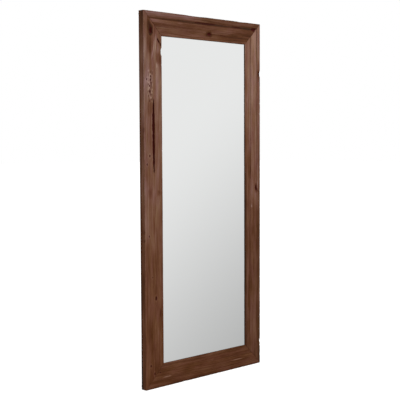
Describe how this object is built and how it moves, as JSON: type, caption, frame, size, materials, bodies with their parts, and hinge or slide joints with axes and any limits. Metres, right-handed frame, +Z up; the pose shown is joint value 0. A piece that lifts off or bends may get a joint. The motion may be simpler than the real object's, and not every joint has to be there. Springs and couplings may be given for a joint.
{
  "type": "framed floor mirror",
  "caption": "Tall plain mirror in a wide mitred timber moulding, stood against a wall or hung on it by D-rings on the back.",
  "frame": {"origin": "bottom centre of the whole object, on the floor, midway between its front and the back of its wall bumpers", "axes": "+X to the right of someone looking into the mirror, +Y to the back, away from them, +Z up along the stiles"},
  "size_m": [0.8, 0.043, 1.8],
  "materials": {
    "timber": "oiled reclaimed hardwood, worn",
    "beech": "raw",
    "silvered_glass": "polished, silvered at the back",
    "rubber": "matt",
    "foam": "closed-cell foam sheet",
    "hardboard": "pressed fibreboard",
    "pine": "planed",
    "zinc_steel": "zinc plated"
  },
  "bodies": {
    "frame": {"left_stile": "timber", "right_stile": "timber", "top_rail": "timber", "bottom_rail": "timber", "mitre_biscuit_bottom_left": "beech", "mitre_biscuit_bottom_right": "beech", "mitre_biscuit_top_left": "beech", "mitre_biscuit_top_right": "beech", "mirror_pane": "silvered_glass", "setting_blocks": "rubber", "edge_spacers": "rubber", "cushion_sheet": "foam", "backing_board": "hardboard", "retaining_batten_left": "pine", "retaining_batten_right": "pine", "retaining_batten_top": "pine", "retaining_batten_bottom": "pine", "batten_screws": "zinc_steel", "corner_plate_bottom_left": "zinc_steel", "corner_plate_bottom_right": "zinc_steel", "corner_plate_top_left": "zinc_steel", "corner_plate_top_right": "zinc_steel", "corner_plate_screws": "zinc_steel", "hanger_strap_left": "zinc_steel", "hanger_strap_right": "zinc_steel", "hanger_screws": "zinc_steel", "wall_bumper_bottom_left": "rubber", "wall_bumper_bottom_right": "rubber", "wall_bumper_top_left": "rubber", "wall_bumper_top_right": "rubber"},
    "ring_left": {"hanger_ring_left": "zinc_steel"},
    "ring_right": {"hanger_ring_right": "zinc_steel"}
  },
  "joints": [
    {"name": "ring_left_swing", "type": "hinge", "parent": "frame", "child": "ring_left", "pos_m": [-0.345, 0.01678, 1.5], "axis": [1, 0, 0], "range_deg": [0, 170]},
    {"name": "ring_right_swing", "type": "hinge", "parent": "frame", "child": "ring_right", "pos_m": [0.345, 0.01678, 1.5], "axis": [1, 0, 0], "range_deg": [0, 170]}
  ]
}
